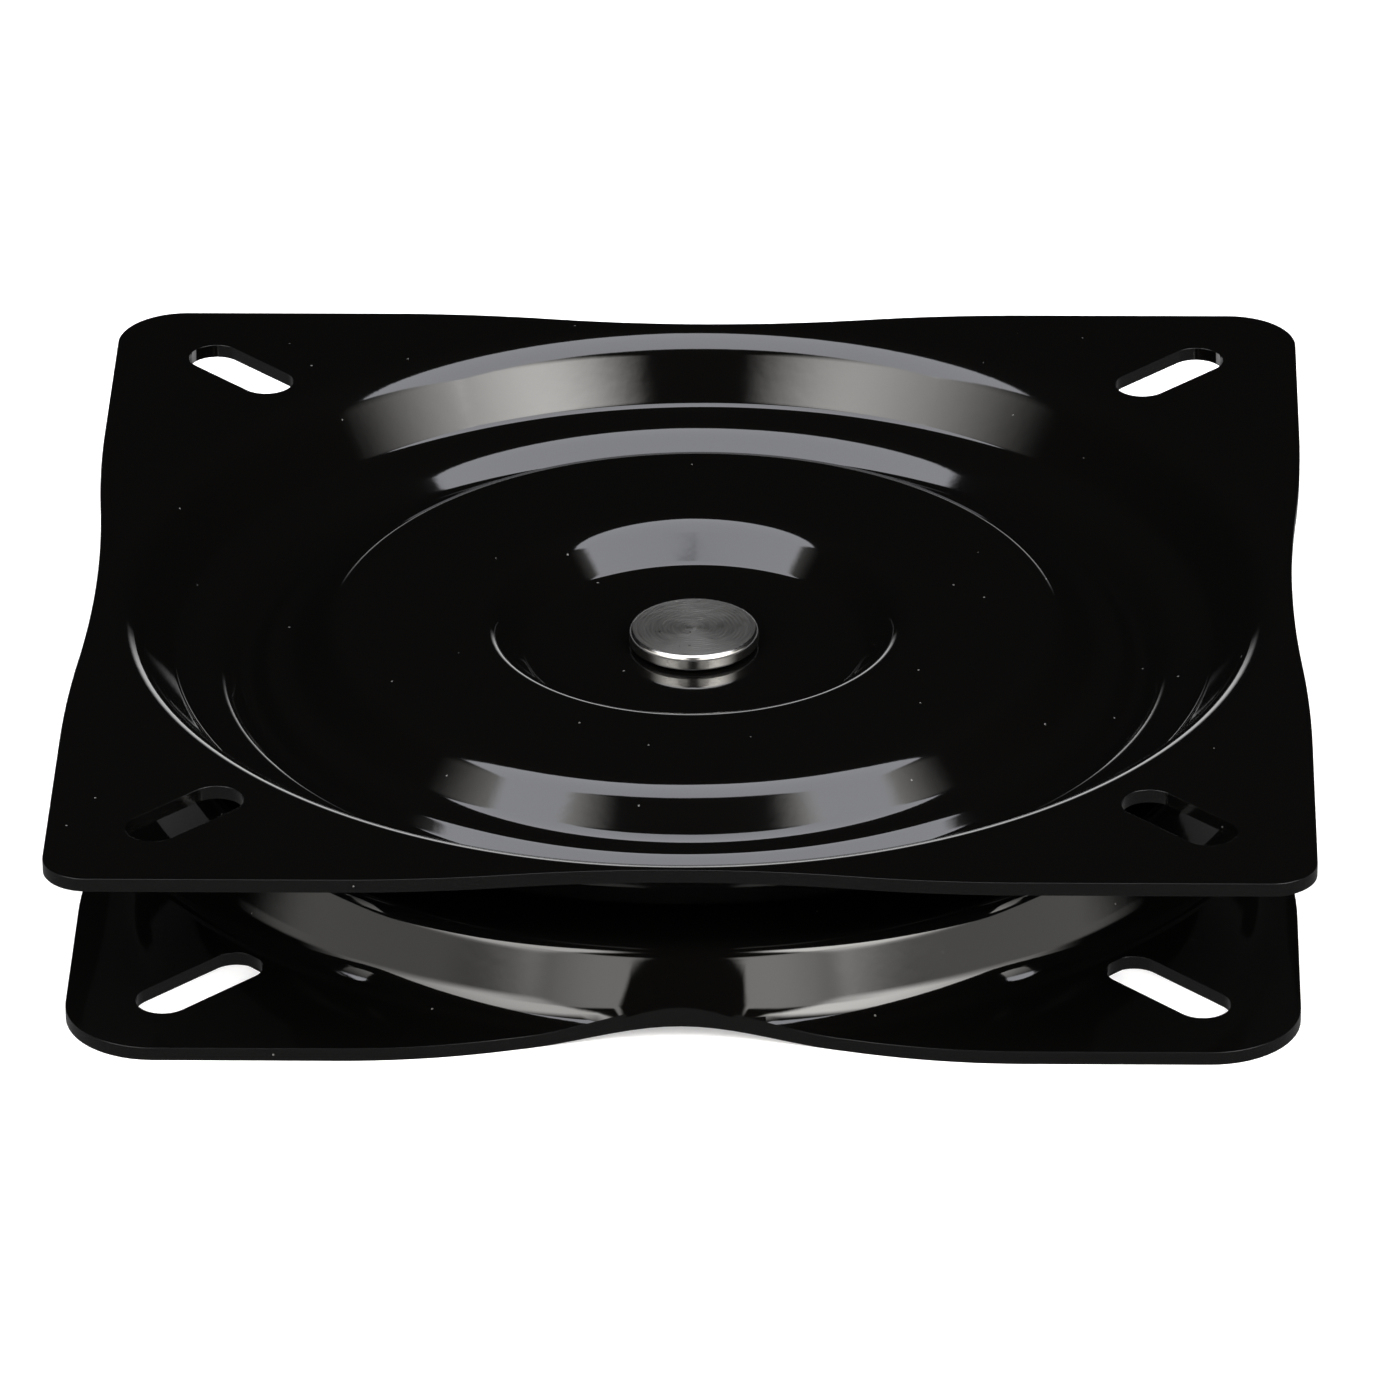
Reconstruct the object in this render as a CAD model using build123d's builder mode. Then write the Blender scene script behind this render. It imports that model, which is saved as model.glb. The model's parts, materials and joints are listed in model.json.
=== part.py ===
"""Boat seat swivel: two dished steel plates that turn on a riveted, caged ball bearing.

Millimetres, +Z up. The origin is at the middle of the lower plate's underside, on the swivel axis,
and the front faces -Y.
"""

import os
from math import sqrt

from build123d import *

# Pressed sheet
sheet = 2.0
upper_side = 178.0
upper_front_corner = 6.5
upper_rear_corner = 10.0
upper_flank_bow = 2.0
upper_end_bow = 3.3
lower_side = 174.5
lower_corner = 13.0
lower_bow = 6.3
bow_length = 96.0

# Mounting slots, radial on the diagonals; the inset is from the plate's sides to the slot's middle
slot_width = 8.0
upper_slot_length = 19.6
upper_slot_inset = 19.15
lower_slot_length = 21.5
lower_slot_inset = 18.65

# Dish section: corner radii from the axis, then the bend at each corner, both on the outer face
floor_depth = 9.6
plateau_depth = 4.5
floor_radius = 24.9
well_radius = 30.2
plateau_radius = 52.6
groove_inner_radius = 56.8
groove_outer_radius = 63.8
floor_bend = 1.0
well_bend = 5.0
plateau_bend = 5.0
groove_inner_bend = 2.5
groove_outer_bend = 6.0
ledge_bend = 6.0
foot_bend = 1.6

# Outer wall of each dish, from the ledge at its foot to the rim in the flange
upper_ledge_radius = 69.5
upper_ledge_depth = 10.0
upper_foot_radius = 76.0
upper_foot_depth = 8.9
upper_rim_radius = 82.2
upper_rim_bend = 10.5
lower_ledge_radius = 68.6
lower_ledge_depth = 11.0
lower_foot_radius = 74.4
lower_foot_depth = 10.7
lower_rim_radius = 81.5
lower_rim_bend = 8.0

# Caged ball bearing between the two floors
ball_count = 16
ball_diameter = 4.76
ball_pitch_radius = 17.0
ball_clearance = 0.12
race_thickness = 0.9
race_width = 9.6
cage_thickness = 2.6
cage_width = 8.2
pocket_clearance = 0.15

# Glide ring between the two grooves
glide_thickness = 1.0
glide_clearance = 0.2
glide_width = 4.0

# Shouldered rivet, its bush and its backing washer
shank_diameter = 10.0
head_diameter = 18.9
head_height = 2.4
head_edge = 0.8
bush_wall = 1.0
bush_flange = 0.3
bush_flange_width = 2.0
bush_fit = 0.05
running_fit = 0.05
head_clearance = 0.1
tenon_diameter = 8.0
tenon_fit = 0.05
washer_diameter = 19.0
washer_thickness = 1.6
peen_diameter = 13.0
peen_height = 2.2

# Heights that follow from the bearing stack
floor_gap = ball_diameter + 2 * (race_thickness + ball_clearance)
height = 2 * (floor_depth + sheet) + floor_gap
groove_depth = height / 2 - sheet - (glide_thickness + glide_clearance) / 2
lower_floor_top = floor_depth + sheet
upper_floor_top = height - floor_depth
ball_height = lower_floor_top + floor_gap / 2

upper_seat = Plane((0, 0, height))
lower_seat = Plane((0, 0, 0), x_dir=(1, 0, 0), z_dir=(0, 0, -1))


def drawn_in_side(half, bow, turn):
    """One side of the blank: straight from its corners, drawn in at its middle."""
    quarter = bow_length / 4
    outline = [
        (half, -half),
        (half, -2 * quarter),
        (half - bow / 2, -quarter),
        (half - bow, 0),
        (half - bow / 2, quarter),
        (half, 2 * quarter),
        (half, half),
    ]
    turned = [Vector(*point).rotate(Axis.Z, turn) for point in outline]
    start, leave, inward, middle, outward, meet, end = turned
    along = Vector(0, 1).rotate(Axis.Z, turn)
    Line(start, leave)
    TangentArc(leave, inward, tangent=along)
    ThreePointArc(inward, middle, outward)
    TangentArc(meet, outward, tangent=-along)
    Line(meet, end)


def pressed_plate(
    seat, side, flank_bow, end_bow, front_corner, rear_corner, slot_length, slot_inset, hole, outer_wall
):
    """Square sheet with its stepped round dish; the seat plane is the flange's outer face."""
    reach = side
    ledge_radius, ledge_depth, foot_radius, foot_depth, rim_radius, rim_bend = outer_wall
    with BuildPart() as plate:
        with BuildSketch(seat.rotated((90, 0, 0))):
            with BuildLine():
                FilletPolyline(
                    (0, -floor_depth),
                    (floor_radius, -floor_depth),
                    (well_radius, -plateau_depth),
                    (plateau_radius, -plateau_depth),
                    (groove_inner_radius, -groove_depth),
                    (groove_outer_radius, -groove_depth),
                    (ledge_radius, -ledge_depth),
                    (foot_radius, -foot_depth),
                    (rim_radius, 0),
                    (reach, 0),
                    radius=[
                        floor_bend,
                        well_bend,
                        plateau_bend,
                        groove_inner_bend,
                        groove_outer_bend,
                        ledge_bend,
                        foot_bend,
                        rim_bend,
                    ],
                )
                offset(amount=sheet, side=Side.RIGHT)
            make_face()
        revolve(axis=Axis.Z)

        # The blank, with each side drawn in where the dish comes close to it
        with BuildSketch(seat) as blank:
            with BuildLine():
                for turn, bow in ((0, flank_bow), (90, end_bow), (180, flank_bow), (270, end_bow)):
                    drawn_in_side(side / 2, bow, turn)
            make_face()
            front_corners = blank.vertices().sort_by_distance((0, 0, 0))[-4:].group_by(Axis.Y)[0]
            fillet(front_corners, radius=front_corner)
            rear_corners = blank.vertices().sort_by_distance((0, 0, 0))[-2:]
            fillet(rear_corners, radius=rear_corner)
        extrude(amount=-height, mode=Mode.INTERSECT)

        with BuildSketch(seat):
            with PolarLocations((side / 2 - slot_inset) * sqrt(2), 4, start_angle=45):
                SlotOverall(slot_length, slot_width)
        extrude(amount=-height, mode=Mode.SUBTRACT)

        with BuildSketch(seat):
            Circle(hole)
        extrude(amount=-height, mode=Mode.SUBTRACT)
    return plate


def flat_ring(bottom, inner, outer, thickness):
    """Plain ring that stands on the given height."""
    with BuildPart() as ring:
        with BuildSketch(Plane.XY.offset(bottom)):
            Circle(outer)
            Circle(inner, mode=Mode.SUBTRACT)
        extrude(amount=thickness)
    return ring


def keep(piece, name):
    """Labels a finished piece and writes its file."""
    piece.part.label = name
    export_step(piece.part, f"parts/{name}.step")


os.makedirs("parts", exist_ok=True)

# Upper plate, which carries the seat
upper_wall = (
    upper_ledge_radius,
    upper_ledge_depth,
    upper_foot_radius,
    upper_foot_depth,
    upper_rim_radius,
    upper_rim_bend,
)
bush_radius = shank_diameter / 2 + running_fit + bush_wall
upper_plate = pressed_plate(
    upper_seat,
    upper_side,
    upper_flank_bow,
    upper_end_bow,
    upper_front_corner,
    upper_rear_corner,
    upper_slot_length,
    upper_slot_inset,
    bush_radius + bush_fit,
    upper_wall,
)
keep(upper_plate, "upper_plate")

# Lower plate, which bolts to the pedestal or box
lower_wall = (
    lower_ledge_radius,
    lower_ledge_depth,
    lower_foot_radius,
    lower_foot_depth,
    lower_rim_radius,
    lower_rim_bend,
)
tenon_hole = tenon_diameter / 2 + tenon_fit
lower_plate = pressed_plate(
    lower_seat,
    lower_side,
    lower_bow,
    lower_bow,
    lower_corner,
    lower_corner,
    lower_slot_length,
    lower_slot_inset,
    tenon_hole,
    lower_wall,
)
keep(lower_plate, "lower_plate")

# Flanged bush in the upper plate's hole
with BuildPart() as pivot_bush:
    with BuildSketch(Plane.XY.offset(upper_floor_top - sheet)):
        Circle(bush_radius)
    extrude(amount=sheet)
    with BuildSketch(Plane.XY.offset(upper_floor_top)):
        Circle(bush_radius + bush_flange_width)
    extrude(amount=bush_flange)
    with BuildSketch(Plane.XY.offset(upper_floor_top - sheet)):
        Circle(shank_diameter / 2 + running_fit)
    extrude(amount=sheet + bush_flange, mode=Mode.SUBTRACT)
keep(pivot_bush, "pivot_bush")

# Backing washer under the lower plate
washer_bottom = floor_depth - washer_thickness
backing_washer = flat_ring(washer_bottom, tenon_hole, washer_diameter / 2, washer_thickness)
keep(backing_washer, "backing_washer")

# Shouldered rivet: turned head, shank, tenon and the tail peened over the washer
head_bottom = upper_floor_top + bush_flange + head_clearance
with BuildPart() as pivot_rivet:
    with BuildSketch(Plane.XY.offset(head_bottom)):
        Circle(head_diameter / 2)
    extrude(amount=head_height)
    fillet(pivot_rivet.edges().filter_by(GeomType.CIRCLE), radius=head_edge)
    with BuildSketch(Plane.XY.offset(lower_floor_top)):
        Circle(shank_diameter / 2)
    extrude(amount=head_bottom - lower_floor_top)
    with BuildSketch(Plane.XY.offset(washer_bottom)):
        Circle(tenon_diameter / 2)
    extrude(amount=lower_floor_top - washer_bottom)
    with BuildSketch(Plane.XY.offset(washer_bottom)):
        Circle(peen_diameter / 2)
    extrude(amount=-peen_height)
    fillet(pivot_rivet.faces().sort_by(Axis.Z)[0].edges(), radius=peen_height / 2)
keep(pivot_rivet, "pivot_rivet")

# Hardened races on the two floors
race_inner = ball_pitch_radius - race_width / 2
race_outer = ball_pitch_radius + race_width / 2
lower_race = flat_ring(lower_floor_top, race_inner, race_outer, race_thickness)
keep(lower_race, "lower_race")
upper_race = flat_ring(upper_floor_top - sheet - race_thickness, race_inner, race_outer, race_thickness)
keep(upper_race, "upper_race")

# Cage with one pocket for each ball
with BuildPart() as ball_cage:
    with BuildSketch(Plane.XY.offset(ball_height)):
        Circle(ball_pitch_radius + cage_width / 2)
        Circle(ball_pitch_radius - cage_width / 2, mode=Mode.SUBTRACT)
        with PolarLocations(ball_pitch_radius, ball_count):
            Circle(ball_diameter / 2 + pocket_clearance, mode=Mode.SUBTRACT)
    extrude(amount=cage_thickness / 2, both=True)
keep(ball_cage, "ball_cage")

# Balls, one in each pocket
for number in range(1, ball_count + 1):
    pocket_angle = 360 / ball_count * (number - 1)
    with BuildPart(Plane.XY.offset(ball_height)) as ball:
        with PolarLocations(ball_pitch_radius, 1, start_angle=pocket_angle):
            Sphere(ball_diameter / 2)
    keep(ball, f"ball_{number:02d}")

# Glide ring on the lower plate's groove
groove_middle = (groove_inner_radius + groove_outer_radius) / 2
glide_ring = flat_ring(
    groove_depth + sheet, groove_middle - glide_width / 2, groove_middle + glide_width / 2, glide_thickness
)
keep(glide_ring, "glide_ring")
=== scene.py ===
"""Looks of a boat seat swivel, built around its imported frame.

Metres, +Z up, in the frame's own coordinates: the lower plate stands on z = 0, the swivel axis is Z
and the front faces -Y.
"""

import json
import math

import bmesh
import bpy
import numpy as np
from bpy.props import FloatProperty, FloatVectorProperty, PointerProperty
from mathutils import Matrix, Vector


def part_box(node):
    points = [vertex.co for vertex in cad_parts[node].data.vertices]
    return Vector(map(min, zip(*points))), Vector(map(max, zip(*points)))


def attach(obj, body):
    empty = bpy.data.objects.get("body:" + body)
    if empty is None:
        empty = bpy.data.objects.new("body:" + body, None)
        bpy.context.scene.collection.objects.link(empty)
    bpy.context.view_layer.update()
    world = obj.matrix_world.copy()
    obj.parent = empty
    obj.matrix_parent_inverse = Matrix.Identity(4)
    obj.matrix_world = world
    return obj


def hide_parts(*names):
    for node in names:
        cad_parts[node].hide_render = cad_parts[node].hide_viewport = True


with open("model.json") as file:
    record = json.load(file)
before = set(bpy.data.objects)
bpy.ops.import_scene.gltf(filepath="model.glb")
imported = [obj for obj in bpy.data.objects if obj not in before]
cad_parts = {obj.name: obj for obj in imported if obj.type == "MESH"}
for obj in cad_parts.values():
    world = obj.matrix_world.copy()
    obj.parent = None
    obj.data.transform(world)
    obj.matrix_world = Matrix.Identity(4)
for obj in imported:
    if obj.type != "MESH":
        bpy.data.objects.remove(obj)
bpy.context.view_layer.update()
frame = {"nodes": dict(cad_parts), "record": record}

bl_info = {
    "name": "Boat Seat Swivel",
    "version": (1, 0, 0),
    "blender": (4, 5, 0),
    "location": "View3D > Sidebar > Swivel",
    "description": "Models and finishes the plates, rivet and bearing of a boat seat swivel",
    "category": "Object",
}

UPPER_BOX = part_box("upper_plate")
LOWER_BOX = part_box("lower_plate")
RIVET_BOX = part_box("pivot_rivet")
WASHER_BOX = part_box("backing_washer")
TOP_FACE = UPPER_BOX[1].z

# Fineness of the meshes
FINE_STEP = math.radians(0.25)
FINE_SUPPORT = 0.0002
RING_STEP = math.radians(5.0)
RING_SUPPORT = 0.0003
SIDE_STEP = 0.0024
CORNER_STEPS = 14
SLOT_POINTS = 44
EDGE_SEGMENTS = 3
RIVET_SEGMENTS = 128
WASHER_SEGMENTS = 96

# Room that the plates' rings keep from the hole, the outline and the flat corners
HOLE_MARGIN = 0.0002
OUTLINE_MARGIN = 0.0006
FLAT_MARGIN = 0.003
CORNER_MARGIN = 0.004
SECTION_REACH = 0.14
PLATE_MERGE = 0.00002
TURNED_MERGE = 0.000001
FLATNESS = 1e-7

# Bright strip low behind the swivel, which the enamel mirrors
STRIP_GLOW = 2.0
STRIP_EVEN = math.radians(12)
STRIP_END = math.radians(20)
STRIP_LOW = math.radians(5)
STRIP_HIGH = math.radians(11)


def length(name, description, default):
    """A length that a user would change, in metres."""
    return FloatProperty(
        name=name, description=description, default=default, min=0.0, precision=5, unit="LENGTH"
    )


def angle(name, description, degrees):
    """An angle that a user would change, given here in degrees."""
    return FloatProperty(
        name=name, description=description, default=math.radians(degrees), subtype="ANGLE"
    )


def colour(name, description, default):
    """A linear colour."""
    return FloatVectorProperty(
        name=name, description=description, default=default, subtype="COLOR", min=0.0, max=1.0
    )


class DishSizes(bpy.types.PropertyGroup):
    """Middle of the pressed dish, the same on both plates: radii and depths on the outer face."""

    sheet: length("Sheet", "Thickness of the steel sheet", 0.002)
    floor_depth: length("Floor depth", "Depth of the floor below the flange", 0.0096)
    plateau_depth: length("Plateau depth", "Depth of the raised ring round the well", 0.0045)
    groove_depth: length("Groove depth", "Depth of the groove inside the outer wall", 0.0124)
    floor_radius: length("Floor radius", "Foot of the well's wall", 0.0249)
    well_radius: length("Well radius", "Top of the well's wall", 0.0302)
    plateau_radius: length("Plateau radius", "Outer edge of the plateau", 0.0526)
    floor_bend: length("Floor bend", "Bend at the foot of the well's wall", 0.001)
    well_bend: length("Well bend", "Bend at the top of the well's wall", 0.005)
    plateau_bend: length("Plateau bend", "Bend at the plateau's outer edge", 0.005)
    foot_bend: length("Foot bend", "Bend at the foot of the outer wall", 0.0016)
    bow_length: length("Bow length", "Stretch of each side that the pressing draws in", 0.096)
    slot_width: length("Slot width", "Width of the mounting slots", 0.008)
    edge_round: length("Edge round", "Rounding that the enamel leaves on the sheared edges", 0.00045)

    def section(self, wall):
        """Corners of the section as radius, height below the flange and bend."""
        return [
            (self.floor_radius, -self.floor_depth, self.floor_bend),
            (self.well_radius, -self.plateau_depth, self.well_bend),
            (self.plateau_radius, -self.plateau_depth, self.plateau_bend),
            *wall.groove(self.groove_depth),
            (wall.ledge_radius, -wall.ledge_depth, wall.ledge_bend),
            (wall.foot_radius, -wall.foot_depth, self.foot_bend),
            (wall.rim_radius, 0.0, wall.rim_bend),
        ]


class UpperWallSizes(bpy.types.PropertyGroup):
    """Shelf, groove and outer wall of the upper dish."""

    shelf_radius: length("Shelf inner radius", "Foot of the plateau's wall", 0.0587)
    shelf_edge: length("Shelf outer radius", "Where the shelf drops into the groove", 0.0622)
    shelf_depth: length("Shelf depth", "Depth of the shelf round the plateau", 0.0104)
    groove_inner: length("Groove inner radius", "Inner end of the groove's bottom", 0.0646)
    groove_outer: length("Groove outer radius", "Outer end of the groove's bottom", 0.0659)
    shelf_bend: length("Shelf bend", "Bend at the foot of the plateau's wall", 0.003)
    shelf_edge_bend: length("Shelf edge bend", "Bend where the shelf drops", 0.002)
    groove_bend: length("Groove bend", "Bends at both ends of the groove's bottom", 0.0015)
    ledge_bend: length("Ledge bend", "Bend at the top of the groove's outer slope", 0.006)
    ledge_radius: length("Ledge radius", "Inner end of the ledge at the wall's foot", 0.0698)
    ledge_depth: length("Ledge depth", "Depth of the ledge's inner end", 0.0095)
    foot_radius: length("Foot radius", "Foot of the wall", 0.0756)
    foot_depth: length("Foot depth", "Depth of the wall's foot", 0.0089)
    rim_radius: length("Rim radius", "Rim of the wall in the flange", 0.0828)
    rim_bend: length("Rim bend", "Bend at the rim", 0.0065)

    def groove(self, depth):
        """Corners between the plateau and the ledge."""
        return [
            (self.shelf_radius, -self.shelf_depth, self.shelf_bend),
            (self.shelf_edge, -self.shelf_depth, self.shelf_edge_bend),
            (self.groove_inner, -depth, self.groove_bend),
            (self.groove_outer, -depth, self.groove_bend),
        ]


class LowerWallSizes(bpy.types.PropertyGroup):
    """Groove and outer wall of the lower dish."""

    groove_inner: length("Groove inner radius", "Foot of the plateau's wall", 0.0568)
    groove_outer: length("Groove outer radius", "Outer end of the groove's bottom", 0.0638)
    groove_bend: length("Groove bend", "Bends at both ends of the groove's bottom", 0.006)
    ledge_bend: length("Ledge bend", "Bend at the top of the groove's outer slope", 0.010)
    ledge_radius: length("Ledge radius", "Inner end of the ledge at the wall's foot", 0.0686)
    ledge_depth: length("Ledge depth", "Depth of the ledge's inner end", 0.0115)
    foot_radius: length("Foot radius", "Foot of the wall", 0.0760)
    foot_depth: length("Foot depth", "Depth of the wall's foot", 0.0113)
    rim_radius: length("Rim radius", "Rim of the wall in the flange", 0.0815)
    rim_bend: length("Rim bend", "Bend at the rim", 0.008)

    def groove(self, depth):
        """Corners between the plateau and the ledge."""
        return [
            (self.groove_inner, -depth, self.groove_bend),
            (self.groove_outer, -depth, self.groove_bend),
        ]


class BlankSizes(bpy.types.PropertyGroup):
    """Outline and slots of the two square blanks."""

    upper_side: length("Upper side", "Side of the upper plate", UPPER_BOX[1].x - UPPER_BOX[0].x)
    upper_front_corner: length("Upper front corners", "Radius of the upper plate's front corners", 0.0065)
    upper_rear_corner: length("Upper rear corners", "Radius of the upper plate's rear corners", 0.010)
    upper_flank_bow: length("Upper flank bow", "How far the left and right sides are drawn in", 0.002)
    upper_end_bow: length("Upper end bow", "How far the front and rear sides are drawn in", 0.0033)
    upper_slot_length: length("Upper slot length", "Overall length of the upper slots", 0.0196)
    upper_slot_spacing: length("Upper slot spacing", "Side of the square of upper slots", 0.1397)
    upper_hole: length("Upper hole", "Radius of the bush's hole", 0.0061)
    lower_side: length("Lower side", "Side of the lower plate", LOWER_BOX[1].x - LOWER_BOX[0].x)
    lower_corner: length("Lower corners", "Radius of the lower plate's corners", 0.013)
    lower_bow: length("Lower bow", "How far the lower plate's sides are drawn in", 0.0063)
    lower_slot_length: length("Lower slot length", "Overall length of the lower slots", 0.0215)
    lower_slot_spacing: length("Lower slot spacing", "Side of the square of lower slots", 0.1372)
    lower_hole: length("Lower hole", "Radius of the tenon's hole", 0.00405)


class RivetSizes(bpy.types.PropertyGroup):
    """Shouldered rivet with its turned head and peened tail, and the washer under it."""

    head_radius: length("Head radius", "Radius of the turned head", RIVET_BOX[1].x)
    head_height: length("Head height", "Height of the turned head", 0.0024)
    head_edge: length("Head edge", "Rounding of the head's upper edge", 0.0008)
    foot_edge: length("Foot edge", "Rounding of the head's lower edge", 0.0005)
    shank_radius: length("Shank radius", "Radius of the shank that the upper plate turns on", 0.005)
    tenon_radius: length("Tenon radius", "Radius of the tenon through the lower plate", 0.004)
    tail_radius: length("Tail radius", "Radius of the peened tail", 0.0065)
    tail_height: length("Tail height", "Height of the peened tail", 0.0022)
    ring_pitch: length("Ring pitch", "Distance between the rings that turning left on the face", 0.0006)
    ring_depth: length("Ring depth", "Depth of the turned rings", 0.00008)
    washer_edge: length("Washer edge", "Rounding of the washer's lower edges", 0.0003)


class FinishColours(bpy.types.PropertyGroup):
    """Colours and gloss of the finishes."""

    enamel: colour("Enamel", "Black stove enamel", (0.0014, 0.0013, 0.0012))
    enamel_gloss: FloatProperty(name="Enamel roughness", description="Roughness of the enamel", default=0.055)
    dust: colour("Dust", "Specks of dust on the enamel", (0.10, 0.10, 0.095))
    plating: colour("Plating", "Bright plating of the rivet", (0.46, 0.45, 0.43))
    zinc: colour("Zinc", "Zinc plating of the washer", (0.52, 0.53, 0.55))
    bearing: colour("Bearing steel", "Polished balls and races", (0.56, 0.56, 0.57))
    acetal: colour("Natural acetal", "Cage and glide ring", (0.76, 0.74, 0.66))
    black_acetal: colour("Black acetal", "Bush", (0.018, 0.018, 0.018))


class StageSettings(bpy.types.PropertyGroup):
    """Camera, light panels and floor."""

    camera_yaw: angle("Camera yaw", "Turn of the camera round the swivel axis", 1.616)
    camera_height: angle("Camera elevation", "Height of the camera above the horizon", 28.089)
    camera_roll: angle("Camera roll", "Roll of the camera", -0.545)
    camera_distance: length("Camera distance", "From the upper plate's middle", 1.7753)
    camera_right: FloatProperty(
        name="Camera right", description="Sideways offset", default=0.00094, unit="LENGTH"
    )
    camera_up: FloatProperty(name="Camera up", description="Upward offset", default=-0.01666, unit="LENGTH")
    lens: FloatProperty(name="Lens", description="Focal length in mm on a 36 mm sensor", default=313.9)
    floor_side: length("Floor side", "Side of the pale floor", 6.0)
    floor_colour: colour("Floor", "Colour of the pale floor", (0.8, 0.8, 0.8))
    warm_light: colour("Warm light", "Colour of the panels round the swivel", (1.0, 0.98, 0.95))
    cool_light: colour("Cool light", "Colour of the panel over the swivel", (0.93, 0.94, 1.0))


class SwivelSettings(bpy.types.PropertyGroup):
    """All sizes and finishes of the swivel."""

    dish: PointerProperty(type=DishSizes)
    upper_wall: PointerProperty(type=UpperWallSizes)
    lower_wall: PointerProperty(type=LowerWallSizes)
    blank: PointerProperty(type=BlankSizes)
    rivet: PointerProperty(type=RivetSizes)
    finish: PointerProperty(type=FinishColours)
    stage: PointerProperty(type=StageSettings)


# Section of the dish

def bend_points(before, corner, after, bend, step):
    """Points of the arc that rounds a corner of the section."""
    start = (before - corner).normalized()
    end = (after - corner).normalized()
    half = start.angle(end) / 2
    centre = corner + (start + end).normalized() * (bend / math.sin(half))
    first = corner + start * (bend / math.tan(half)) - centre
    sweep = math.pi - 2 * half
    turn = 1.0 if start.cross(end) < 0 else -1.0
    count = max(2, math.ceil(sweep / step))
    return [centre + first @ Matrix.Rotation(-turn * sweep * k / count, 2) for k in range(count + 1)]


def section_line(corners, inner_radius, step, support):
    """The section from the hole to past the rim, with support points near the ends of each straight run."""
    points = [Vector((inner_radius, corners[0][1]))]
    spots = [points[0], *(Vector(c[:2]) for c in corners), Vector((SECTION_REACH, 0.0))]
    for k, corner in enumerate(corners, start=1):
        arc = bend_points(spots[k - 1], spots[k], spots[k + 1], corner[2], step)
        run = arc[0] - points[-1]
        if run.length > 3 * support:
            points.append(points[-1] + run.normalized() * support)
            points.append(arc[0] - run.normalized() * support)
        points.extend(arc)
    points.append(spots[-1])
    return points


def offset_line(line, sheet):
    """The section's other face, one sheet below the given one."""
    spots = np.array([tuple(p) for p in line])
    along = np.gradient(spots, axis=0)
    along /= np.linalg.norm(along, axis=1)[:, None]
    return spots + sheet * np.stack([along[:, 1], -along[:, 0]], axis=1)


# Outline of the blank

def arc_about(centre, radius, first, last, count):
    """Points of an arc, from one angle in degrees to another."""
    turns = [math.radians(first + (last - first) * k / count) for k in range(count + 1)]
    return [centre + radius * Vector((math.cos(a), math.sin(a))) for a in turns]


def bow_height(along, bow, span):
    """How far a side is drawn in at a place along it: two arcs each way, tangent to the side."""
    far = abs(along) / (span / 2)
    if far >= 1:
        return 0.0
    return bow * (1 - 2 * far**2) if far < 0.5 else 2 * bow * (1 - far) ** 2


def blank_outline(side, front_corner, rear_corner, flank_bow, end_bow, span):
    """Points round the blank, from the right side's front end, anticlockwise."""
    half = side / 2
    points = []
    for turn, bow, start_corner, end_corner in (
        (0, flank_bow, front_corner, rear_corner),
        (90, end_bow, rear_corner, rear_corner),
        (180, flank_bow, rear_corner, front_corner),
        (270, end_bow, front_corner, front_corner),
    ):
        low = -half + start_corner
        high = half - end_corner
        count = round((high - low) / SIDE_STEP)
        side_points = []
        for k in range(count + 1):
            along = low + (high - low) * k / count
            side_points.append(Vector((half - bow_height(along, bow, span), along)))
        centre = Vector((half - end_corner, half - end_corner))
        side_points += arc_about(centre, end_corner, 0, 90, CORNER_STEPS)[1:-1]
        spin = Matrix.Rotation(math.radians(turn), 2)
        points += [spin @ p for p in side_points]
    return points


# Modelling helpers

def fresh_start():
    """Leaves edit mode and deselects everything."""
    if bpy.context.mode != "OBJECT":
        bpy.ops.object.mode_set(mode="OBJECT")
    bpy.ops.object.select_all(action="DESELECT")


def ring_object(name, count, radius):
    """Adds the circle that a turned shape grows from, in edit mode with the ring selected."""
    fresh_start()
    bpy.ops.mesh.primitive_circle_add(
        vertices=count, radius=radius, location=(0, 0, 0), enter_editmode=True
    )
    piece = bpy.context.object
    piece.name = name
    piece.data.name = name
    return piece


def grow_ring(piece, places, extrude=True):
    """Extrudes the selected ring and sets the new ring, sorted round the axis, to the given places."""
    if extrude:
        bpy.ops.mesh.extrude_edges_move()
    mesh = bmesh.from_edit_mesh(piece.data)
    ring = [v for v in mesh.verts if v.select]
    ring.sort(key=lambda v: math.atan2(v.co.y, v.co.x) % math.tau)
    for point, place in zip(ring, places):
        point.co = place
    bmesh.update_edit_mesh(piece.data)


def apply_modifier(piece, kind, **values):
    """Adds a modifier, sets it and applies it."""
    bpy.context.view_layer.objects.active = piece
    modifier = piece.modifiers.new(kind.title(), kind)
    for key, value in values.items():
        setattr(modifier, key, value)
    bpy.ops.object.modifier_apply(modifier=modifier.name)


def place_piece(piece, where):
    """Moves a piece to its place, puts the place into its mesh and shades it smooth."""
    fresh_start()
    piece.select_set(True)
    bpy.context.view_layer.objects.active = piece
    piece.location = where
    bpy.ops.object.transform_apply(location=True, rotation=True, scale=True)
    bpy.ops.object.shade_smooth_by_angle(angle=math.radians(35))
    apply_modifier(piece, "WEIGHTED_NORMAL", mode="FACE_AREA", weight=50, keep_sharp=True)


def finish_piece(piece, material, node, body):
    """Gives a finished piece its material and its body, and hides the node that it stands for."""
    piece.data.materials.clear()
    piece.data.materials.append(material)
    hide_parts(node)
    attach(piece, body)


# Plates

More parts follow.
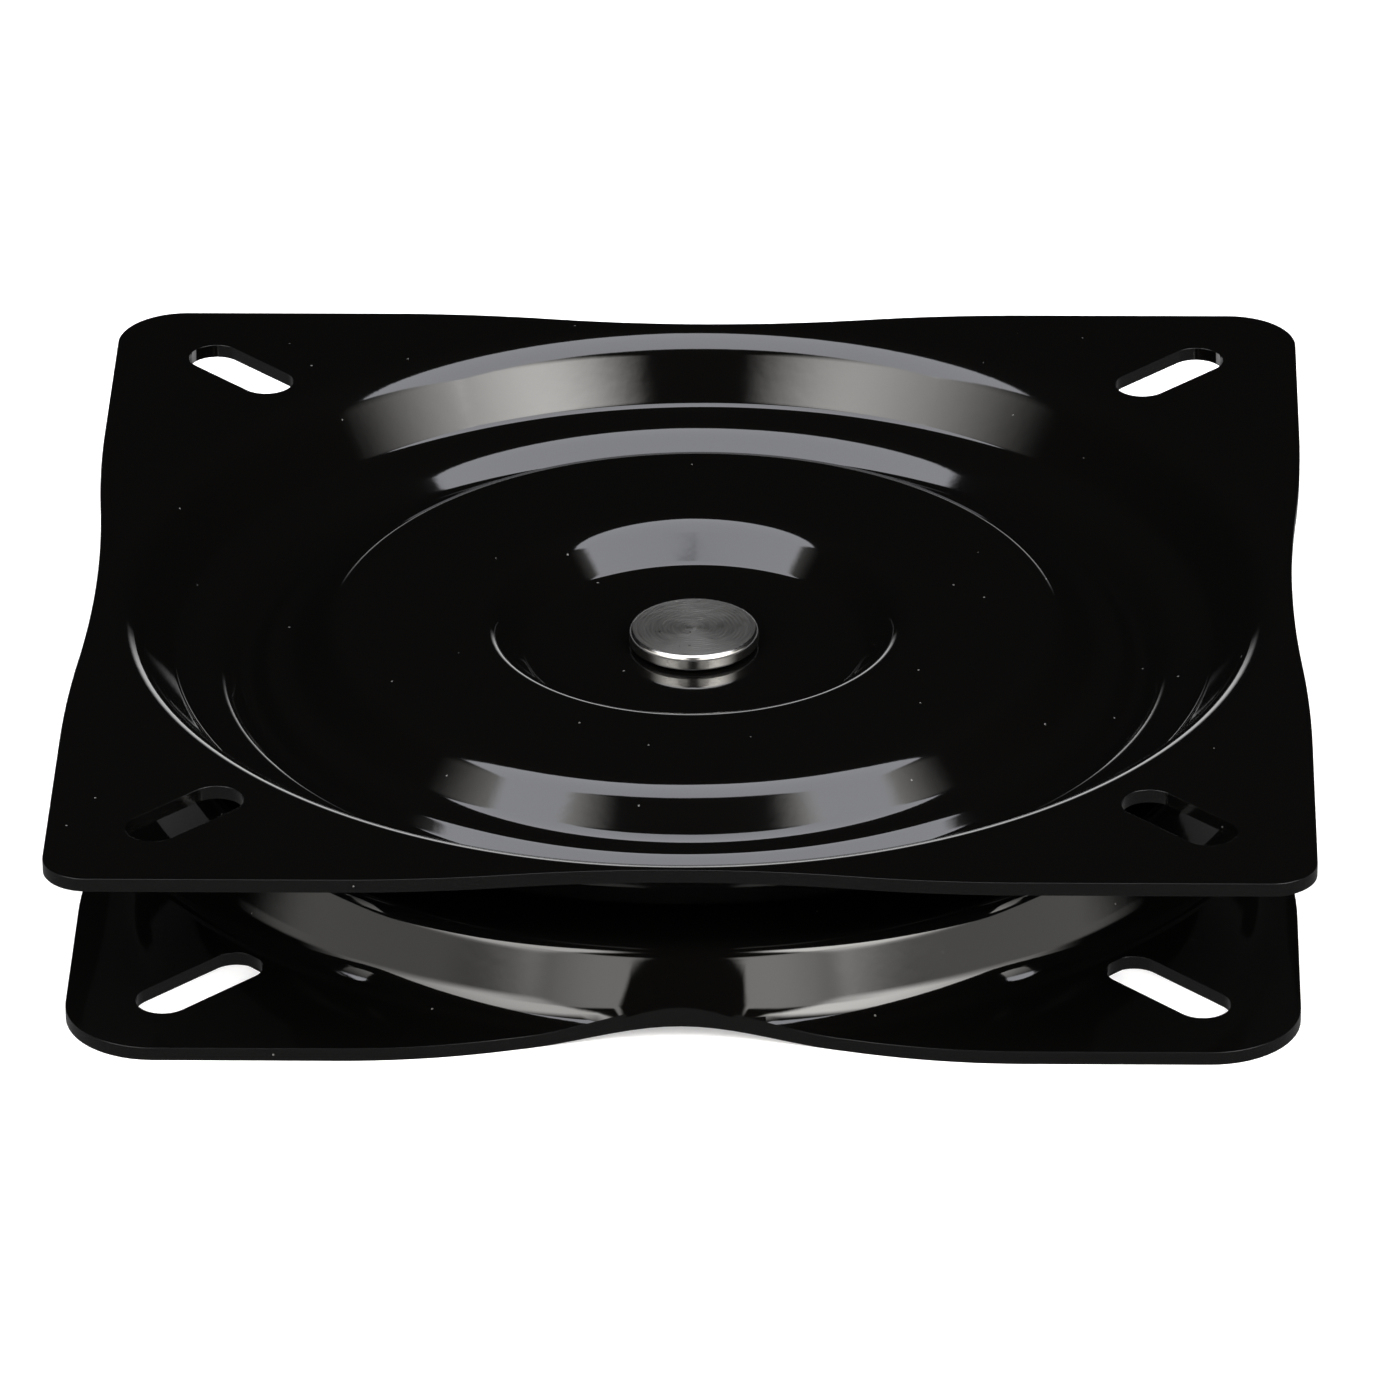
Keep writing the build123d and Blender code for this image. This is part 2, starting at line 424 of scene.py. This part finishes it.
def model_plate(name, dish, wall, outline, hole, slot_length, slot_spacing, back_seen):
    """The pressed plate with its flange's outer face up, at z = 0; rings follow the face that is seen."""
    corners = dish.section(wall)
    fine = section_line(corners, hole * 0.5, FINE_STEP, FINE_SUPPORT)
    rings = section_line(corners, hole * 0.5, RING_STEP, RING_SUPPORT)
    face = np.array([tuple(p) for p in fine])
    back = offset_line(fine, dish.sheet)
    radii = np.array([p.x for p in rings])
    if back_seen:
        radii = np.interp(radii, face[:, 0], back[:, 0])
    flat_start = max(radii[-2], rings[-2].x)
    radii = [r for r in radii[1:-1] if r > hole + HOLE_MARGIN]
    outline = sorted(outline, key=lambda p: math.atan2(p.y, p.x) % math.tau)
    limits = np.array([p.length for p in outline])
    ways = [p.normalized() for p in outline]

    def places(radius):
        """Where a ring's points lie on the face, none past the outline."""
        reached = np.where(radius > limits - OUTLINE_MARGIN, limits, radius)
        heights = np.interp(reached, face[:, 0], face[:, 1])
        return [Vector((w.x * r, w.y * r, z)) for w, r, z in zip(ways, reached, heights)]

    piece = ring_object(name, len(outline), hole)
    grow_ring(piece, places(hole), extrude=False)
    for radius in (*radii, flat_start + FLAT_MARGIN, SECTION_REACH):
        grow_ring(piece, places(radius))
    bpy.ops.mesh.select_all(action="SELECT")
    bpy.ops.mesh.remove_doubles(threshold=PLATE_MERGE)
    bpy.ops.mesh.dissolve_degenerate(threshold=PLATE_MERGE)
    open_corners(piece, flat_start, slot_length, dish.slot_width, slot_spacing)

    # The sheet's other face: the same points, one sheet lower
    bpy.ops.mesh.select_all(action="SELECT")
    bpy.ops.mesh.extrude_region()
    mesh = bmesh.from_edit_mesh(piece.data)
    lower = [v for v in mesh.verts if v.select]
    heights = np.interp([v.co.xy.length for v in lower], back[:, 0], back[:, 1])
    for point, height in zip(lower, heights):
        point.co.z = height
    bmesh.update_edit_mesh(piece.data)
    bpy.ops.mesh.select_all(action="SELECT")
    bpy.ops.mesh.normals_make_consistent(inside=False)
    bpy.ops.object.mode_set(mode="OBJECT")
    apply_modifier(
        piece,
        "BEVEL",
        width=dish.edge_round,
        segments=EDGE_SEGMENTS,
        limit_method="ANGLE",
        angle_limit=math.radians(50),
    )
    return piece


def open_corners(piece, flat_start, slot_length, slot_width, slot_spacing):
    """Cuts the four diagonal slots into the flat corners of the flange."""
    inner = flat_start / math.sqrt(2) - CORNER_MARGIN
    shift = (slot_length - slot_width) / 2
    for turn in (45, 135, 225, 315):
        way = Vector((math.cos(math.radians(turn)), math.sin(math.radians(turn)), 0.0))
        signs = (math.copysign(1, way.x), math.copysign(1, way.y))
        bpy.context.tool_settings.mesh_select_mode = (False, False, True)
        bpy.ops.mesh.select_all(action="DESELECT")
        mesh = bmesh.from_edit_mesh(piece.data)
        for face in mesh.faces:
            flat = all(abs(v.co.z) < FLATNESS for v in face.verts)
            corner = all(v.co.x * signs[0] > inner and v.co.y * signs[1] > inner for v in face.verts)
            face.select_set(flat and corner)
        bpy.ops.mesh.dissolve_faces()
        mesh = bmesh.from_edit_mesh(piece.data)
        for edge in [e for f in mesh.faces if f.select for e in f.edges]:
            edge.seam = True
        bpy.ops.mesh.delete(type="ONLY_FACE")

        # The slot's outline, then the corner filled anew between it and the marked edges
        bpy.context.tool_settings.mesh_select_mode = (True, False, False)
        bpy.ops.mesh.select_all(action="DESELECT")
        centre = way * (slot_spacing / math.sqrt(2))
        bpy.ops.mesh.primitive_circle_add(vertices=SLOT_POINTS, radius=slot_width / 2, location=centre)
        mesh = bmesh.from_edit_mesh(piece.data)
        for point in [v for v in mesh.verts if v.select]:
            side = (point.co - centre).dot(way)
            point.co += way * math.copysign(shift, side)
        for edge in [e for e in mesh.edges if e.seam]:
            edge.select_set(True)
            edge.seam = False
        bmesh.update_edit_mesh(piece.data)
        bpy.ops.mesh.fill(use_beauty=True)


class SWIVEL_OT_plates(bpy.types.Operator):
    """Model the upper and lower plate as pressed sheet"""

    bl_idname = "swivel.plates"
    bl_label = "Plates"

    def execute(self, context):
        settings = context.scene.swivel
        dish, blank = settings.dish, settings.blank
        enamel = enamel_material(settings.finish)
        outline = blank_outline(
            blank.upper_side,
            blank.upper_front_corner,
            blank.upper_rear_corner,
            blank.upper_flank_bow,
            blank.upper_end_bow,
            dish.bow_length,
        )
        upper = model_plate(
            "upper_pressing",
            dish,
            settings.upper_wall,
            outline,
            blank.upper_hole,
            blank.upper_slot_length,
            blank.upper_slot_spacing,
            back_seen=False,
        )
        place_piece(upper, (0, 0, TOP_FACE))
        finish_piece(upper, enamel, "upper_plate", "seat_plate")

        outline = blank_outline(
            blank.lower_side,
            blank.lower_corner,
            blank.lower_corner,
            blank.lower_bow,
            blank.lower_bow,
            dish.bow_length,
        )
        lower = model_plate(
            "lower_pressing",
            dish,
            settings.lower_wall,
            outline,
            blank.lower_hole,
            blank.lower_slot_length,
            blank.lower_slot_spacing,
            back_seen=True,
        )
        lower.rotation_euler = (math.pi, 0, 0)
        place_piece(lower, (0, 0, 0))
        finish_piece(lower, enamel, "lower_plate", "base")
        return {"FINISHED"}


# Rivet and washer

def turn_piece(name, section, segments):
    """Turns a section, given as radius and height, round the axis; ends on the axis are closed."""
    piece = ring_object(name, segments, section[0][0])
    turns = [math.tau * k / segments for k in range(segments)]
    for k, (radius, height) in enumerate(section):
        places = [Vector((radius * math.cos(a), radius * math.sin(a), height)) for a in turns]
        grow_ring(piece, places, extrude=k > 0)
    bpy.ops.mesh.select_all(action="SELECT")
    bpy.ops.mesh.remove_doubles(threshold=TURNED_MERGE)
    bpy.ops.mesh.normals_make_consistent(inside=False)
    bpy.ops.object.mode_set(mode="OBJECT")
    return piece


def rounded(centre, radius, first, last, count=8):
    """Section points of a rounded edge."""
    return [tuple(p) for p in arc_about(Vector(centre), radius, first, last, count)]


class SWIVEL_OT_rivet(bpy.types.Operator):
    """Turn the rivet with the rings that the tool left on its head"""

    bl_idname = "swivel.rivet"
    bl_label = "Rivet"

    def execute(self, context):
        settings = context.scene.swivel
        sizes = settings.rivet
        top = RIVET_BOX[1].z
        bottom = RIVET_BOX[0].z
        head_foot = top - sizes.head_height
        tail_top = bottom + sizes.tail_height
        shoulder = LOWER_BOX[1].z - (settings.dish.groove_depth - settings.dish.floor_depth)
        tail_round = sizes.tail_height / 2
        edge_middle = sizes.head_radius - sizes.head_edge
        foot_middle = sizes.head_radius - sizes.foot_edge
        near_axis = 0.00001

        section = [(near_axis, bottom)]
        section += rounded((sizes.tail_radius - tail_round, bottom + tail_round), tail_round, -90, 0)
        section += [
            (sizes.tail_radius, tail_top),
            (sizes.tenon_radius, tail_top),
            (sizes.tenon_radius, shoulder),
            (sizes.shank_radius, shoulder),
            (sizes.shank_radius, head_foot),
        ]
        section += rounded((foot_middle, head_foot + sizes.foot_edge), sizes.foot_edge, -90, 0)
        section += rounded((edge_middle, top - sizes.head_edge), sizes.head_edge, 0, 90)

        # Turned rings from the edge of the flat face to its middle: share of the pitch, share of the depth
        for k in range(int(edge_middle / sizes.ring_pitch)):
            crest = edge_middle - sizes.ring_pitch * k
            for inward, drop in ((0.25, 0.5), (0.5, 1.0), (0.75, 0.5), (0.97, 0.0)):
                section.append((crest - sizes.ring_pitch * inward, top - sizes.ring_depth * drop))
        section.append((near_axis, top))

        rivet = turn_piece("turned_rivet", section, RIVET_SEGMENTS)
        place_piece(rivet, (0, 0, 0))
        plating = metal_material("bright_rivet_plating", settings.finish.plating, 0.19, flat_dulling=1.6)
        finish_piece(rivet, plating, "pivot_rivet", "base")
        return {"FINISHED"}


class SWIVEL_OT_washer(bpy.types.Operator):
    """Turn the backing washer under the lower plate"""

    bl_idname = "swivel.washer"
    bl_label = "Backing washer"

    def execute(self, context):
        settings = context.scene.swivel
        low, high = WASHER_BOX
        inner = settings.blank.lower_hole
        edge = settings.rivet.washer_edge
        section = [(inner, low.z + edge), (inner + edge, low.z)]
        section += rounded((high.x - edge, low.z + edge), edge, -90, 0, count=4)
        section += [(high.x, high.z), (inner, high.z), (inner, low.z + edge)]
        washer = turn_piece("turned_washer", section, WASHER_SEGMENTS)
        place_piece(washer, (0, 0, 0))
        zinc = metal_material("satin_zinc", settings.finish.zinc, 0.34)
        finish_piece(washer, zinc, "backing_washer", "base")
        return {"FINISHED"}


class SWIVEL_OT_bearing(bpy.types.Operator):
    """Finish the bush, races, balls, cage and glide ring"""

    bl_idname = "swivel.bearing"
    bl_label = "Bearing"

    def execute(self, context):
        finish = context.scene.swivel.finish
        finishes = {
            "bearing_steel": metal_material("polished_bearing_steel", finish.bearing, 0.12),
            "natural_acetal": acetal_material("natural_acetal_moulding", finish.acetal),
            "black_acetal": acetal_material("black_acetal_moulding", finish.black_acetal),
        }
        for row in frame["record"]["subparts"]:
            material = finishes.get(row["material_slot"])
            if material is None:
                continue
            node = frame["nodes"][row["node"]]
            node.data.materials.clear()
            node.data.materials.append(material)
        return {"FINISHED"}


# Material helpers

def new_material(name):
    """A material with its node tree and its shader."""
    material = bpy.data.materials.new(name)
    material.use_nodes = True
    tree = material.node_tree
    return material, tree, tree.nodes["Principled BSDF"]


def add_node(tree, kind, **values):
    """A node with some of its properties and inputs set."""
    node = tree.nodes.new(kind)
    for key, value in values.items():
        if key in node.inputs:
            node.inputs[key].default_value = value
        else:
            setattr(node, key, value)
    return node


def map_range(tree, value, source=(0.0, 1.0), target=(0.0, 1.0), smooth=False):
    """A socket's value, taken from one range to another."""
    node = add_node(tree, "ShaderNodeMapRange")
    if smooth:
        node.interpolation_type = "SMOOTHSTEP"
    for end, first, last in (("Min", source[0], target[0]), ("Max", source[1], target[1])):
        node.inputs[f"From {end}"].default_value = first
        node.inputs[f"To {end}"].default_value = last
    tree.links.new(value, node.inputs["Value"])
    return node.outputs["Result"]


def compute(tree, operation, first, second):
    """One step of arithmetic on a socket and a second socket or a plain number."""
    node = add_node(tree, "ShaderNodeMath", operation=operation)
    tree.links.new(first, node.inputs[0])
    if isinstance(second, float):
        node.inputs[1].default_value = second
    else:
        tree.links.new(second, node.inputs[1])
    return node.outputs[0]


def mix_shaders(tree, share, first, second):
    """A share of the second shader over the first."""
    node = add_node(tree, "ShaderNodeMixShader")
    for socket, source in zip(node.inputs, (share, first, second)):
        tree.links.new(source, socket)
    return node.outputs[0]


def add_noise(tree, place, **values):
    """Noise on the piece's own coordinates."""
    noise = add_node(tree, "ShaderNodeTexNoise", **values)
    tree.links.new(place.outputs["Object"], noise.inputs["Vector"])
    return noise.outputs["Fac"]


def add_bump(tree, shader, height, **values):
    """Fine relief on a shader."""
    bump = add_node(tree, "ShaderNodeBump", **values)
    tree.links.new(height, bump.inputs["Height"])
    tree.links.new(bump.outputs["Normal"], shader.inputs["Normal"])


# Finishes

def enamel_material(finish):
    """Glossy black stove enamel with a slight orange peel and a few specks of dust."""
    material, tree, shader = new_material("black_stove_enamel")
    link = tree.links.new
    shader.inputs["IOR"].default_value = 1.5
    place = add_node(tree, "ShaderNodeTexCoord")
    peel = add_noise(tree, place, Scale=380.0, Detail=2.0, Roughness=0.5)
    add_bump(tree, shader, peel, Strength=0.02, Distance=0.0003)
    haze = add_noise(tree, place, Scale=24.0, Detail=4.0)
    gloss = map_range(tree, haze, target=(finish.enamel_gloss * 0.7, finish.enamel_gloss * 1.3))
    link(gloss, shader.inputs["Roughness"])

    # Dust: a pale dot in a few of the cells
    dot_size, bare_share = 0.034, 0.5
    cells = add_node(tree, "ShaderNodeTexVoronoi", Scale=210.0)
    link(place.outputs["Object"], cells.inputs["Vector"])
    draw = add_node(tree, "ShaderNodeSeparateColor")
    link(cells.outputs["Color"], draw.inputs[0])
    dot = compute(tree, "LESS_THAN", cells.outputs["Distance"], dot_size)
    few = compute(tree, "GREATER_THAN", draw.outputs[0], bare_share)
    tint = add_node(tree, "ShaderNodeMix", data_type="RGBA")
    link(compute(tree, "MULTIPLY", dot, few), tint.inputs["Factor"])
    tint.inputs[6].default_value = (*finish.enamel, 1)
    tint.inputs[7].default_value = (*finish.dust, 1)
    link(tint.outputs[2], shader.inputs["Base Color"])
    return material


def metal_material(name, base, roughness, flat_dulling=None):
    """Bright metal with fine scratches in its roughness; faces that look up can be duller than the rest."""
    material, tree, shader = new_material(name)
    shader.inputs["Base Color"].default_value = (*base, 1)
    shader.inputs["Metallic"].default_value = 1.0
    place = add_node(tree, "ShaderNodeTexCoord")
    grain = add_noise(tree, place, Scale=900.0, Detail=3.0)
    rough = map_range(tree, grain, target=(roughness * 0.75, roughness * 1.3))
    if flat_dulling:
        shape = add_node(tree, "ShaderNodeNewGeometry")
        parts = add_node(tree, "ShaderNodeSeparateXYZ")
        tree.links.new(shape.outputs["True Normal"], parts.inputs[0])
        dull = map_range(tree, parts.outputs["Z"], source=(0.90, 0.96), target=(1.0, flat_dulling))
        rough = compute(tree, "MULTIPLY", rough, dull)
    tree.links.new(rough, shader.inputs["Roughness"])
    return material


def acetal_material(name, base):
    """Moulded acetal with a fine grain."""
    material, tree, shader = new_material(name)
    shader.inputs["Base Color"].default_value = (*base, 1)
    shader.inputs["Roughness"].default_value = 0.42
    place = add_node(tree, "ShaderNodeTexCoord")
    grain = add_noise(tree, place, Scale=1400.0, Detail=2.0)
    add_bump(tree, shader, grain, Strength=0.1, Distance=0.0001)
    return material


# Light panels

def sky_direction(azimuth, elevation):
    """Unit direction from angles in degrees; azimuth 0 is the camera's side, positive to the right."""
    a, e = math.radians(azimuth), math.radians(elevation)
    return Vector((math.sin(a) * math.cos(e), -math.cos(a) * math.cos(e), math.sin(e)))


def softbox(name, azimuth, elevation, distance, size, tint, glow, fades):
    """Glowing panel that faces the swivel; it fades over a share of its outer side, inner side and ends."""
    fresh_start()
    facing = sky_direction(azimuth, elevation)
    bpy.ops.mesh.primitive_plane_add(size=1.0, location=facing * distance + Vector((0, 0, TOP_FACE)))
    panel = bpy.context.object
    panel.name = name
    panel.scale = (*size, 1.0)
    panel.rotation_euler = facing.to_track_quat("Z", "Y").to_euler()
    outer, inner, ends = fades
    sides = (inner, outer) if azimuth > 0 else (outer, inner)
    panel.data.materials.append(panel_material(name, tint, glow, sides, ends))
    panel.visible_camera = False


def softbox_pair(name, azimuth, elevation, distance, size, tint, glows, fades):
    """Two softboxes that mirror each other, the left one with the first glow."""
    for side, sign, glow in (("left", -1, glows[0]), ("right", 1, glows[1])):
        softbox(f"{name}_{side}_panel", sign * azimuth, elevation, distance, size, tint, glow, fades)


def overhead_panel(height, width, front, rear_middle, rear_end, tint, glow, fade):
    """Panel over the swivel; its rear edge runs forward from the middle to both ends."""
    fresh_start()
    bpy.ops.mesh.primitive_plane_add(
        size=1.0, location=(0, 0, height), rotation=(math.pi, 0, 0), enter_editmode=True
    )
    panel = bpy.context.object
    panel.name = "overhead_panel"
    bpy.ops.mesh.subdivide(number_cuts=1)
    mesh = bmesh.from_edit_mesh(panel.data)
    for point in mesh.verts:
        rear = rear_middle + (rear_end - rear_middle) * abs(point.co.x) * 2
        depth = 0.5 - point.co.y
        point.co.y = -(front + (rear - front) * depth)
        point.co.x *= width
    bmesh.update_edit_mesh(panel.data)
    bpy.ops.object.mode_set(mode="OBJECT")
    panel.data.materials.append(panel_material("overhead_panel", tint, glow, (fade, fade), fade))
    panel.visible_camera = False


def panel_material(name, tint, glow, sides, ends):
    """Light from a fabric front: even in the middle, fading to clear over a share of its width."""
    material, tree, shader = new_material(name)
    tree.nodes.remove(shader)
    shine = add_node(tree, "ShaderNodeEmission")
    shine.inputs["Color"].default_value = (*tint, 1)
    shine.inputs["Strength"].default_value = glow
    place = add_node(tree, "ShaderNodeTexCoord")
    parts = add_node(tree, "ShaderNodeSeparateXYZ")
    tree.links.new(place.outputs["UV"], parts.inputs[0])
    share = None
    for axis, edge, fade in (("X", 0, sides[0]), ("X", 1, sides[1]), ("Y", 0, ends), ("Y", 1, ends)):
        ramp = map_range(tree, parts.outputs[axis], source=(edge, abs(edge - fade)), smooth=True)
        share = compute(tree, "MULTIPLY", ramp, share) if share else ramp
    clear = add_node(tree, "ShaderNodeBsdfTransparent")
    cloth = mix_shaders(tree, share, clear.outputs[0], shine.outputs[0])
    tree.links.new(cloth, tree.nodes["Material Output"].inputs["Surface"])
    return material


# Stage

class SWIVEL_OT_stage(bpy.types.Operator):
    """Set up the floor, the light panels and the camera"""

    bl_idname = "swivel.stage"
    bl_label = "Stage"

    def execute(self, context):
        stage = context.scene.swivel.stage
        fresh_start()
        bpy.ops.mesh.primitive_plane_add(size=stage.floor_side, location=(0, 0, 0))
        floor = context.object
        floor.name = "pale_floor"
        floor.data.materials.append(floor_material(stage.floor_colour))

        overhead_panel(
            height=1.0,
            width=1.7,
            front=-0.46,
            rear_middle=0.46,
            rear_end=0.06,
            tint=stage.cool_light,
            glow=5.6,
            fade=0.04,
        )
        softbox_pair(
            "front",
            azimuth=55,
            elevation=39,
            distance=1.3,
            size=(1.36, 1.10),
            tint=stage.warm_light,
            glows=(8.5, 12.5),
            fades=(0.8, 0.1, 0.28),
        )
        softbox_pair(
            "low",
            azimuth=27,
            elevation=23,
            distance=1.2,
            size=(0.76, 0.44),
            tint=stage.warm_light,
            glows=(3.4, 4.0),
            fades=(0.8, 0.12, 0.28),
        )
        softbox_pair(
            "side",
            azimuth=66,
            elevation=15,
            distance=1.4,
            size=(1.75, 0.56),
            tint=stage.warm_light,
            glows=(1.3, 1.5),
            fades=(0.30, 0.30, 0.30),
        )
        context.scene.world = studio_world()
        place_camera(context.scene, stage)
        context.scene.view_settings.view_transform = "Standard"
        return {"FINISHED"}


def rear_share(tree, place):
    """A place or direction in its parts, and how far it lies straight behind the swivel, from 0 to 1."""
    parts = add_node(tree, "ShaderNodeSeparateXYZ")
    tree.links.new(place, parts.inputs[0])
    bearing = compute(tree, "ARCTAN2", parts.outputs["X"], parts.outputs["Y"])
    off = add_node(tree, "ShaderNodeMath", operation="ABSOLUTE")
    tree.links.new(bearing, off.inputs[0])
    share = map_range(tree, off.outputs[0], source=(STRIP_EVEN, STRIP_END), target=(1.0, 0.0), smooth=True)
    return parts, share


def floor_material(base):
    """Pale floor that shows as white with a soft shadow; in the enamel it is dim but for its far end."""
    camera_lift, mirrored_level = 0.4, 0.18
    material, tree, shader = new_material("pale_sweep")
    shader.inputs["Base Color"].default_value = (*base, 1)
    shader.inputs["Roughness"].default_value = 0.9
    shader.inputs["Specular IOR Level"].default_value = 0.0
    shader.inputs["Emission Color"].default_value = (1, 1, 1, 1)
    path = add_node(tree, "ShaderNodeLightPath")
    lift = compute(tree, "MULTIPLY", path.outputs["Is Camera Ray"], camera_lift)
    tree.links.new(lift, shader.inputs["Emission Strength"])

    place = add_node(tree, "ShaderNodeTexCoord")
    rear = rear_share(tree, place.outputs["Object"])[1]
    mirrored = add_node(tree, "ShaderNodeEmission")
    level = map_range(tree, rear, target=(mirrored_level, STRIP_GLOW))
    tree.links.new(level, mirrored.inputs["Strength"])
    seen = mix_shaders(tree, path.outputs["Is Glossy Ray"], shader.outputs[0], mirrored.outputs[0])

    # Clear to a camera below it
    shape = add_node(tree, "ShaderNodeNewGeometry")
    below = compute(tree, "MULTIPLY", shape.outputs["Backfacing"], path.outputs["Is Camera Ray"])
    clear = add_node(tree, "ShaderNodeBsdfTransparent")
    surface = mix_shaders(tree, below, seen, clear.outputs[0])
    tree.links.new(surface, tree.nodes["Material Output"].inputs["Surface"])
    return material


def studio_world():
    """White for the camera; for everything else a dark studio with a white strip low behind the swivel."""
    dark_level = 0.003
    world = bpy.data.worlds.new("dim_studio")
    world.use_nodes = True
    tree = world.node_tree
    link = tree.links.new
    back = tree.nodes["Background"]
    place = add_node(tree, "ShaderNodeTexCoord")
    parts, rear = rear_share(tree, place.outputs["Generated"])
    heights = (math.sin(STRIP_LOW), math.sin(STRIP_HIGH))
    band = map_range(tree, parts.outputs["Z"], source=heights, target=(STRIP_GLOW, 0.0), smooth=True)
    strip = add_node(tree, "ShaderNodeMath", operation="MULTIPLY_ADD")
    link(band, strip.inputs[0])
    link(rear, strip.inputs[1])
    strip.inputs[2].default_value = dark_level
    path = add_node(tree, "ShaderNodeLightPath")
    pick = add_node(tree, "ShaderNodeMix", data_type="FLOAT")
    link(path.outputs["Is Camera Ray"], pick.inputs[0])
    link(strip.outputs[0], pick.inputs[2])
    pick.inputs[3].default_value = 1.0
    back.inputs["Color"].default_value = (1, 1, 1, 1)
    link(pick.outputs[0], back.inputs["Strength"])
    return world


def place_camera(scene, stage):
    """Camera at the photograph's place, turned to its view."""
    yaw, lift, roll = stage.camera_yaw, stage.camera_height, stage.camera_roll
    back = Vector((math.sin(yaw) * math.cos(lift), -math.cos(yaw) * math.cos(lift), math.sin(lift)))
    right = Vector((math.cos(yaw), math.sin(yaw), 0.0))
    up = back.cross(right)
    rolled_right = right * math.cos(roll) + up * math.sin(roll)
    rolled_up = up * math.cos(roll) - right * math.sin(roll)
    where = back * stage.camera_distance + rolled_right * stage.camera_right + rolled_up * stage.camera_up
    where += Vector((0, 0, TOP_FACE))
    turned = Matrix((rolled_right, rolled_up, back)).transposed().to_4x4()
    bpy.ops.object.camera_add()
    camera = bpy.context.object
    camera.name = "photo_camera"
    camera.matrix_world = Matrix.Translation(where) @ turned
    camera.data.sensor_width = 36.0
    camera.data.lens = stage.lens
    camera.data.clip_start = 0.05
    camera.data.clip_end = 50.0
    scene.camera = camera


class VIEW3D_PT_swivel(bpy.types.Panel):
    """Sidebar panel that lists the swivel's operators and sizes"""

    bl_label = "Boat Seat Swivel"
    bl_space_type = "VIEW_3D"
    bl_region_type = "UI"
    bl_category = "Swivel"

    def draw(self, context):
        for operator in OPERATORS:
            self.layout.operator(operator.bl_idname)
        settings = context.scene.swivel
        for group_name in settings.__annotations__:
            group = getattr(settings, group_name)
            box = self.layout.box()
            box.label(text=group.bl_rna.name)
            for name in group.__annotations__:
                box.prop(group, name)


OPERATORS = (SWIVEL_OT_plates, SWIVEL_OT_rivet, SWIVEL_OT_washer, SWIVEL_OT_bearing, SWIVEL_OT_stage)
GROUPS = (
    DishSizes,
    UpperWallSizes,
    LowerWallSizes,
    BlankSizes,
    RivetSizes,
    FinishColours,
    StageSettings,
    SwivelSettings,
)


def register():
    """Registers the classes and the scene's settings."""
    for cls in (*GROUPS, *OPERATORS, VIEW3D_PT_swivel):
        bpy.utils.register_class(cls)
    bpy.types.Scene.swivel = PointerProperty(type=SwivelSettings)


def unregister():
    """Takes the settings and the classes away."""
    del bpy.types.Scene.swivel
    for cls in reversed((*GROUPS, *OPERATORS, VIEW3D_PT_swivel)):
        bpy.utils.unregister_class(cls)


def main():
    """Builds the whole scene."""
    register()
    bpy.ops.swivel.plates()
    bpy.ops.swivel.rivet()
    bpy.ops.swivel.washer()
    bpy.ops.swivel.bearing()
    bpy.ops.swivel.stage()


if __name__ == "__main__":
    main()
